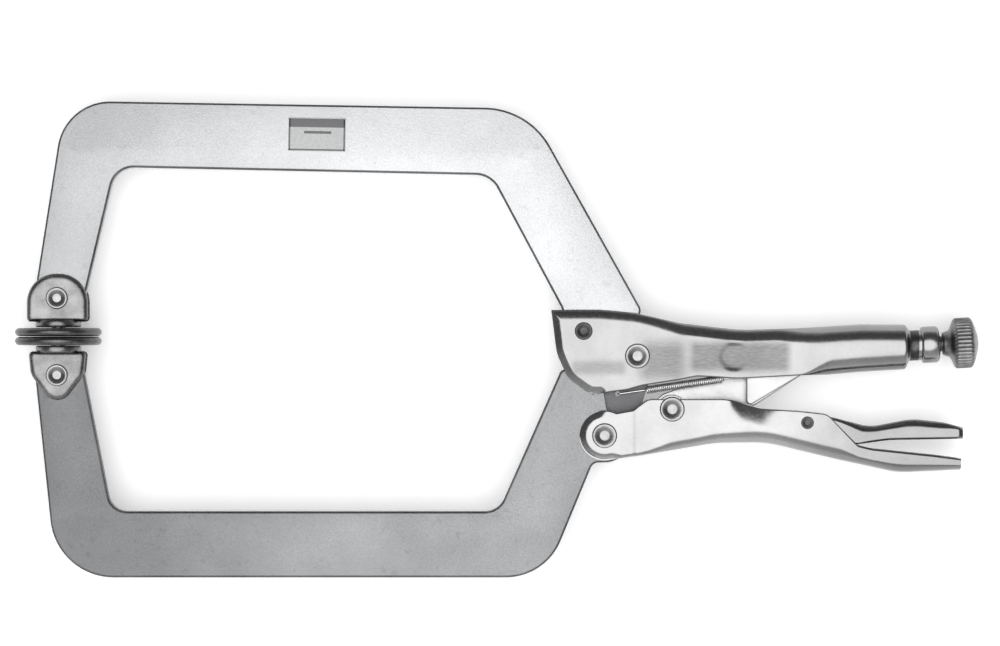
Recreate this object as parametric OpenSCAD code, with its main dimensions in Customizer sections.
// Locking C-clamp pliers, lying flat.
// Drawn with y = 0 at the plane where the pads meet and z = 0 at the middle of the steel,
// then moved by placed() so that the origin is under the middle of the tool.

/* [Arms] */
// Thickness of the two C arms
arm_t = 8; // [7.6:0.1:8.4]
// Play between an arm and each side plate around it
arm_play = 0.5; // [0.4:0.1:0.7]
// Radius of the moving arm's lobe round the main pivot
pivot_lobe_r = 9; // [8.5:0.5:10]
// Radius of the moving arm's lobe round the lever rivet
lever_lobe_r = 12.8; // [12:0.2:13]

/* [Handles] */
// Sheet thickness of the pressed handles
sheet = 2.8; // [2.2:0.1:3]
// How far the ears of the lever are coined down on each side
ear_step = 0.8; // [0.4:0.1:1]
// Outer radius of the rolled barrel at the back of the upper handle
barrel_r = 11.2; // [10.8:0.1:11.6]
// Half width of the barrel across its flattened sides
barrel_half_w = 10.4; // [9.8:0.1:10.8]
// Tilt of the screw in the upper handle
screw_tilt = 3; // [2.5:0.25:3.5]

/* [Screw] */
// Radius of the adjusting screw
screw_r = 4; // [3.8:0.1:4.2]
// Radius of the knob over its knurl
knob_r = 12; // [11:0.5:12.5]
// Number of grooves in the knurl
knurl_count = 36; // [20:1:40]

/* [Rivets] */
// Shank radius of the three large rivets
rivet_r = 4; // [3.6:0.1:4.2]
// Head radius of the three large rivets
rivet_head_r = 5.9; // [5.6:0.1:6.2]
// Height of the large rivet heads
rivet_head_h = 1.6; // [1.2:0.1:2]
// Radial clearance of every turning fit
fit = 0.05; // [0.03:0.01:0.08]

/* [Pads] */
// Radius of the pressure discs
pad_r = 20.5; // [19:0.5:21]
// Half of the gap between the closed pads
pad_gap = 0.15; // [0.1:0.05:0.3]
// Distance from the pad plane to the cross rivets
pad_pivot_y = 18.2; // [18:0.1:18.6]
// Position of the pads along the tool
pad_x = -207.4; // [-208:0.1:-207]

/* [Hidden] */
$fn = 48;

// Degrees of turn covered by one straight step of a rounded corner
arc_step = 9;
// Reach of a hole or a hollow that has to pass clear of the tool
far = 90;
gap_half = arm_t / 2 + arm_play;
plate_half = gap_half + sheet;
frame_y = 1.2;

// Rivet centres: jaw, pivot, lever, link, release
jaw_at = [41.4, 2.6];
pivot_at = [66.8, -9.2];
lever_at = [51.3, -46.8];
link_at = [83.2, -34.3];
release_at = [147.1, -40.7];

jaw_rivet_r = 3;
jaw_head_r = 4.2;
jaw_head_h = 1;
release_pin_r = 2.5;
release_head_r = 3;
release_head_h = 0.6;

// The screw's axis starts at the mouth of the barrel
barrel_at = [151, -6.7];
barrel_len = 44;
barrel_bore_r = screw_r + 1.8;
neck_len = 6.5;
neck_r = 7.2;
collar_len = 8.5;
collar_r = 8.7;
collar_plug = 5;
screw_end = 73;
tip_out = 1.8;
knob_start = 60.5;
knob_len = 17;

knob_rim_from = 5;
knurl_r = 0.65;

// The channels are open on the inside of the tool from here forwards
head_open_to = 74;
ear_to = 66;
ear_r = 11.8;
ear_half = plate_half - ear_step;
arm_bore = rivet_r + fit;
pad_pin_r = 3.5;
pad_pin_head_r = 5.2;
yoke_gap = arm_t / 2 + 0.3;
yoke_sheet = 2.5;
disc_top = 4.1;
yoke_base = [4.4, 7.7];
yoke_base_r = 10.8;
stud_r = 3.5;
stud_head = [0.6, 1.7];
stud_head_r = 6;
spring_r = 2;
spring_z = 2.2;
spring_from = [57.7, -27.2];
spring_to = [112.1, -19.4];
coil_from = 15;
coil_len = 35;
wire_r = 0.45;
hook_hole_r = 1.2;
handle_hook_hole_r = 1;
link_t = 4;
link_full = gap_half - 0.3;
link_thick_from = 118;
link_eye_r = 8;
link_hub_r = 6.8;
release_half = 4.2;
release_sheet = 2;
label_size = [27.4, 16.1, 0.3];
label_at = [-84.7, 95.6];

function unit(v) = v / norm(v);

// Points of the arc that rounds the corner b between a and c; each corner is [x, y, radius]
function corner_arc(a, b, c) =
    let (
        p = [b.x, b.y],
        u = unit([a.x, a.y] - p),
        w = unit([c.x, c.y] - p),
        half = acos(u * w) / 2,
        o = p + unit(u + w) * b.z / sin(half),
        s = p + u * b.z / tan(half),
        from = atan2(s.y - o.y, s.x - o.x),
        side = u.x * w.y - u.y * w.x > 0 ? -1 : 1,
        turn = side * (180 - 2 * half),
        n = max(1, ceil(abs(turn) / arc_step))
    )
    [for (i = [0:n]) o + b.z * [cos(from + turn * i / n), sin(from + turn * i / n)]];

function rounded(c) = [
    for (i = [0:len(c) - 1])
        for (p = c[i].z == 0
            ? [[c[i].x, c[i].y]]
            : corner_arc(c[(i + len(c) - 1) % len(c)], c[i], c[(i + 1) % len(c)])) p
];

// The corners of a counter-clockwise outline moved inwards by t
function inset(c, t) = [
    for (i = [0:len(c) - 1])
        let (
            a = c[(i + len(c) - 1) % len(c)],
            b = c[i],
            d = c[(i + 1) % len(c)],
            e = unit([b.x - a.x, b.y - a.y]),
            f = unit([d.x - b.x, d.y - b.y]),
            n = [-e.y, e.x],
            m = [-f.y, f.x],
            moved = [b.x, b.y] + t * (n + m) / (1 + n * m),
            convex = e.x * f.y - e.y * f.x > 0
        )
        [moved.x, moved.y, b.z == 0 ? 0 : convex ? max(b.z - t, 0.2) : b.z + t]
];

// Outline of the hollow below a web of thickness t that follows the top edge
function under(top, t) =
    inset(concat(top, [[top[len(top) - 1].x, -far, 0], [top[0].x, -far, 0]]), t);

// Outline of the hollow above a web of thickness t that follows the bottom edge
function over(bottom, t) =
    inset(concat(bottom, [[bottom[len(bottom) - 1].x, far, 0], [bottom[0].x, far, 0]]), t);

// Strip between two circles, along their outer tangents
function tangent_strip(a, ra, b, rb) =
    let (
        d = norm(b - a),
        base = atan2(b.y - a.y, b.x - a.x),
        lean = acos((ra - rb) / d),
        l = [cos(base + lean), sin(base + lean)],
        r = [cos(base - lean), sin(base - lean)]
    )
    [a + ra * r, b + rb * r, b + rb * l, a + ra * l];

upper_arm_outline = [
    [-220, 9.6, 8], [-196.7, 9.6, 8], [-180, 80.2, 11], [-2.6, 76.4, 12], [31.2, 13.2, 2],
    [30.5, -5, 3], [66.5, 3.5, 3], [68.7, 13, 4], [15.6, 108, 36], [-204, 111.6, 25]
];

// Recess in the moving arm that the spring lies in
spring_pocket = [[52.4, -36.2, 3], [80, -36.2, 0], [80, -20.5, 0], [50, -22, 3]];

lower_arm_outline = [
    [-196.5, -9.6, 8], [-219, -9.6, 8], [-208, -114, 30], [23.4, -114, 28], [46, -59.4, 4],
    [53, -59.4, 0], [62, -48, 0], [68, -16, 0], [62.4, -1.8, 0], [33.2, -10.4, 3],
    [1.2, -82.8, 10], [-182, -82.8, 9]
];

// Top edge of the upper handle from the barrel to the front of the head
handle_top = [
    [barrel_at.x + 2, 4.4, 0], [115.4, 3, 80], [87, 6.4, 50], [66, 11.2, 30], [49, 12.7, 60],
    [26.2, 12.6, 5]
];

handle_bottom = [
    [28.8, -8, 20], [34, -19.5, 14], [45, -27.4, 10], [72.8, -23.4, 60], [114.5, -20, 100],
    [barrel_at.x + 2, -18.2, 0]
];

// Bottom edge of the lever from the ears to the tail
lever_bottom = [
    [56, -57.4, 0], [66, -56.6, 20], [87, -53.2, 50], [104, -50.4, 50], [128, -50.2, 50],
    [158, -57.4, 90], [190, -64.4, 40], [221.8, -63, 2.2]
];

lever_top = [
    [221.8, -57.8, 2.2], [207, -56, 40], [178, -53, 5], [171, -51.4, 4], [156.5, -36.6, 5],
    [143, -35.2, 20], [126, -34.2, 30], [110, -29.6, 30], [72, -29.6, 5], [65, -34.8, 3],
    [58, -37.4, 0]
];

link_outline = [
    [86, -42, 2], [104, -41.5, 15], [119.5, -34.6, 10], [146.2, -17.4, 3], [146.2, -8, 4],
    [138.5, -4.9, 4], [80.6, -27.8, 0]
];

release_bottom = [
    [122, -44.5, 3], [150, -47.8, 15], [171, -51, 8], [186, -49, 40], [223, -48.4, 2.6]
];

// Top edge of the release lever from the tail to the nose
release_top = [
    [223.6, -43.6, 2.6], [212, -40.6, 30], [197, -38.9, 30], [177, -42.7, 20], [157, -37.6, 6],
    [139, -36.8, 8], [122, -38.2, 2]
];

upper_ear_outline = [
    [pad_x - 14.4, 7, 2], [pad_x + 14.4, 7, 2], [pad_x + 14.4, 29.6, 13.5],
    [pad_x - 14.4, 29.6, 13.5]
];

lower_ear_outline = [
    [pad_x + 13.6, -7, 2], [pad_x - 13.6, -7, 2], [pad_x - 12.6, -18, 9], [pad_x, -34.4, 7],
    [pad_x + 12.6, -18, 9]
];

// Moves a drawn piece to its place over the origin
module placed() {
    translate([0, frame_y, pad_r]) children();
}

// An outline made solid between two heights
module slab(corners, low, high) {
    translate([0, 0, low]) linear_extrude(high - low) polygon(rounded(corners));
}

// A straight round bar or hole across the tool
module across(at, r, low, high) {
    translate([at.x, at.y, low]) cylinder(r = r, h = high - low);
}

// A hole right through the tool
module through(at, r) {
    across(at, r, -far, far);
}

// A rivet across the tool with a headed rim on both sides
module rivet(at, r, head_r, head_h, half) {
    across(at, r, -half, half);
    for (side = [-1, 1])
        translate([at.x, at.y, side * half])
            mirror([0, 0, side > 0 ? 0 : 1])
                difference() {
                    union() {
                        cylinder(r = head_r, h = head_h * 0.6);
                        cylinder(r = head_r - 0.8, h = head_h);
                    }
                    translate([0, 0, head_h - 0.5]) cylinder(r = head_r * 0.42, h = 1);
                }
}

// Turns +Z to the screw's axis, with z = 0 at the mouth of the barrel
module along_screw() {
    translate([barrel_at.x, barrel_at.y, 0])
        rotate([0, 0, screw_tilt])
            rotate([0, 90, 0]) children();
}

// Everything between two heights from one x to another
module across_slice(from_x, to_x, low, high) {
    translate([from_x, -far, low]) cube([to_x - from_x, 2 * far, high - low]);
}

module upper_handle() {
    color("gainsboro") difference() {
        union() {
            slab(concat(handle_bottom, handle_top), -plate_half, plate_half);
            intersection() {
                along_screw() cylinder(r = barrel_r, h = barrel_len);
                across_slice(barrel_at.x - far, barrel_at.x + far, -barrel_half_w, barrel_half_w);
            }
            along_screw() translate([0, 0, barrel_len - 1]) cylinder(r = neck_r, h = neck_len + 1);
        }
        difference() {
            slab(under(handle_top, sheet), -gap_half, gap_half);
            across_slice(barrel_at.x, barrel_at.x + far, -far, far);
        }
        across_slice(0, head_open_to, -gap_half, gap_half);
        along_screw() translate([0, 0, -8])
            cylinder(r = barrel_bore_r, h = barrel_len + neck_len + 10);
        through(jaw_at, jaw_rivet_r + fit);
        through(pivot_at, arm_bore);
        across(spring_to, handle_hook_hole_r, 0, far);
    }
}

module upper_arm() {
    color("silver") difference() {
        slab(upper_arm_outline, -arm_t / 2, arm_t / 2);
        through(jaw_at, jaw_rivet_r + fit);
        through([pad_x, pad_pivot_y], pad_pin_r + fit);
    }
}

module jaw_rivet() {
    color("dimgray") rivet(jaw_at, jaw_rivet_r, jaw_head_r, jaw_head_h, plate_half);
}

module pivot_rivet() {
    color("gray") rivet(pivot_at, rivet_r, rivet_head_r, rivet_head_h, plate_half);
}

module label_plate() {
    color("dimgray") translate([label_at.x, label_at.y, arm_t / 2 + label_size.z / 2])
        rotate([0, 0, -1]) cube(label_size, center = true);
}

module thread_collar() {
    color("silver") along_screw() difference() {
        union() {
            translate([0, 0, barrel_len + neck_len]) cylinder(r = collar_r, h = collar_len);
            translate([0, 0, barrel_len + neck_len - collar_plug])
                cylinder(r = barrel_bore_r - fit, h = collar_plug + 1);
        }
        cylinder(r = screw_r + fit, h = 100);
    }
}

module adjusting_screw() {
    tip = 3;
    color("gray") along_screw() {
        translate([0, 0, tip - tip_out]) cylinder(r = screw_r, h = screw_end - tip + tip_out);
        translate([0, 0, -tip_out]) cylinder(r1 = screw_r - 1.5, r2 = screw_r, h = tip);
    }
}

// The knob is bored from the front for the end of the screw
module screw_knob() {
    color("dimgray") along_screw() translate([0, 0, knob_start]) difference() {
        rotate_extrude() polygon([
            [0, 0], [5.6, 0], [6.2, 1], [6.6, 3], [knob_r - 0.8, knob_rim_from],
            [knob_r, knob_rim_from + 1], [knob_r, 13], [knob_r - 0.8, 14.2], [7, knob_len - 0.8],
            [0, knob_len]
        ]);
        translate([0, 0, -1]) cylinder(r = screw_r + fit, h = screw_end - knob_start + 1.5);
        for (i = [0:knurl_count - 1])
            rotate([0, 0, i * 360 / knurl_count])
                translate([knob_r + knurl_r / 3, 0, knob_rim_from - 2])
                    cylinder(r = knurl_r, h = 14, $fn = 16);
    }
}

module lower_arm() {
    color("darkgray") difference() {
        translate([0, 0, -arm_t / 2]) linear_extrude(arm_t) {
            polygon(rounded(lower_arm_outline));
            polygon(tangent_strip(lever_at, lever_lobe_r, pivot_at, pivot_lobe_r));
            translate(lever_at) circle(r = lever_lobe_r);
            translate(pivot_at) circle(r = pivot_lobe_r);
        }
        through(pivot_at, arm_bore);
        through(lever_at, arm_bore);
        through(spring_from, hook_hole_r);
        slab(spring_pocket, 0, far);
        through([pad_x, -pad_pivot_y], pad_pin_r + fit);
    }
}

module lever() {
    color("gainsboro") difference() {
        union() {
            slab(concat(lever_bottom, lever_top), -plate_half, plate_half);
            across(lever_at, ear_r, -ear_half, ear_half);
        }
        slab(over(lever_bottom, sheet), -gap_half, gap_half);
        across_slice(0, ear_to + 4, -gap_half, gap_half);
        across_slice(0, ear_to, ear_half, far);
        across_slice(0, ear_to, -far, -ear_half);
        for (at = [lever_at, link_at]) through(at, arm_bore);
        through(release_at, release_pin_r + fit);
    }
}

module lever_rivet() {
    color("gray") rivet(lever_at, rivet_r, rivet_head_r, rivet_head_h, ear_half + 0.1);
}

module link_rivet() {
    color("gray") rivet(link_at, rivet_r, rivet_head_r, rivet_head_h, plate_half);
}

// The link is thinned on its upper face where the spring lies beside it
module toggle_link() {
    color("darkgray") difference() {
        union() {
            slab(link_outline, -link_full, -link_full + link_t);
            intersection() {
                slab(link_outline, -link_full, link_full);
                across_slice(link_thick_from, link_thick_from + far, -far, far);
            }
            across(link_at, link_eye_r, -link_full, -link_full + link_t);
            across(link_at, link_hub_r, -link_full, link_full);
        }
        through(link_at, arm_bore);
    }
}

// Closed solid of the coil, with the straight hooks at its ends
module spring() {
    along = unit(spring_to - spring_from);
    turned = [0, 0, atan2(along.y, along.x)];
    length = norm(spring_to - spring_from);
    color("silver") translate([spring_from.x, spring_from.y, 0]) {
        rotate(turned) translate([0, 0, spring_z]) rotate([0, 90, 0]) {
            translate([0, 0, coil_from]) cylinder(r = spring_r, h = coil_len);
            translate([0, 0, -wire_r]) cylinder(r = wire_r, h = length + 2 * wire_r, $fn = 16);
        }
        translate([0, 0, -3]) cylinder(r = wire_r, h = spring_z + 3, $fn = 16);
        rotate(turned) translate([length, 0, spring_z])
            cylinder(r = wire_r, h = plate_half - sheet / 4 - spring_z, $fn = 16);
    }
}

module release_lever() {
    inner = release_half - release_sheet;
    boss_r = 4.4;
    nose_to = 130;
    color("silver") difference() {
        slab(concat(release_bottom, release_top), -release_half, release_half);
        difference() {
            slab(under(release_top, release_sheet), -inner, inner);
            through(release_at, boss_r);
            across_slice(0, nose_to, -far, far);
        }
        through(release_at, release_pin_r + fit);
    }
}

module release_pin() {
    color("dimgray")
        rivet(release_at, release_pin_r, release_head_r, release_head_h, plate_half);
}

// A pad fork standing on the pad plane; the lower one is its mirror image with pointed ears
module pad_yoke(ear) {
    slab(ear, yoke_gap, yoke_gap + yoke_sheet);
    slab(ear, -yoke_gap - yoke_sheet, -yoke_gap);
    children();
}

module fork_base() {
    translate([pad_x, yoke_base[0], 0])
        rotate([-90, 0, 0]) cylinder(r = yoke_base_r, h = yoke_base[1] - yoke_base[0]);
}

module stud_hole() {
    translate([pad_x, 0, 0]) rotate([-90, 0, 0]) cylinder(r = stud_r + fit, h = 9);
}

module pad_stud() {
    translate([pad_x, 0, 0]) rotate([-90, 0, 0]) {
        translate([0, 0, stud_head[0]]) cylinder(r = stud_head_r, h = stud_head[1] - stud_head[0]);
        translate([0, 0, stud_head[0]]) cylinder(r = stud_r, h = yoke_base[1] - stud_head[0]);
    }
}

module pad_disc() {
    rim = 0.8;
    translate([pad_x, 0, 0]) rotate([-90, 0, 0]) difference() {
        rotate_extrude($fn = 96) polygon([
            [0, pad_gap], [pad_r - rim / 2, pad_gap], [pad_r, pad_gap + rim], [pad_r, disc_top - rim],
            [pad_r - rim / 2, disc_top], [0, disc_top]
        ]);
        cylinder(r = stud_r + fit, h = 9);
        translate([0, 0, -1]) cylinder(r = stud_head_r + 0.4, h = stud_head[1] + 1.3);
    }
}

module upper_pad_yoke() {
    color("gray") difference() {
        pad_yoke(upper_ear_outline) fork_base();
        through([pad_x, pad_pivot_y], pad_pin_r + fit);
        stud_hole();
    }
}

module upper_pad_rivet() {
    color("dimgray")
        rivet([pad_x, pad_pivot_y], pad_pin_r, pad_pin_head_r, rivet_head_h, yoke_gap + yoke_sheet);
}

module upper_pad_stud() {
    color("silver") pad_stud();
}

module upper_pad_disc() {
    color("gray") pad_disc();
}

module lower_pad_yoke() {
    color("gray") difference() {
        pad_yoke(lower_ear_outline) mirror([0, 1, 0]) fork_base();
        through([pad_x, -pad_pivot_y], pad_pin_r + fit);
        mirror([0, 1, 0]) stud_hole();
    }
}

module lower_pad_rivet() {
    color("dimgray")
        rivet([pad_x, -pad_pivot_y], pad_pin_r, pad_pin_head_r, rivet_head_h, yoke_gap + yoke_sheet);
}

module lower_pad_stud() {
    color("silver") mirror([0, 1, 0]) pad_stud();
}

module lower_pad_disc() {
    color("gray") mirror([0, 1, 0]) pad_disc();
}

placed() upper_handle();
placed() upper_arm();
placed() jaw_rivet();
placed() pivot_rivet();
placed() label_plate();
placed() thread_collar();
placed() adjusting_screw();
placed() screw_knob();
placed() lower_arm();
placed() lever();
placed() lever_rivet();
placed() link_rivet();
placed() toggle_link();
placed() spring();
placed() release_lever();
placed() release_pin();
placed() upper_pad_yoke();
placed() upper_pad_rivet();
placed() upper_pad_stud();
placed() upper_pad_disc();
placed() lower_pad_yoke();
placed() lower_pad_rivet();
placed() lower_pad_stud();
placed() lower_pad_disc();
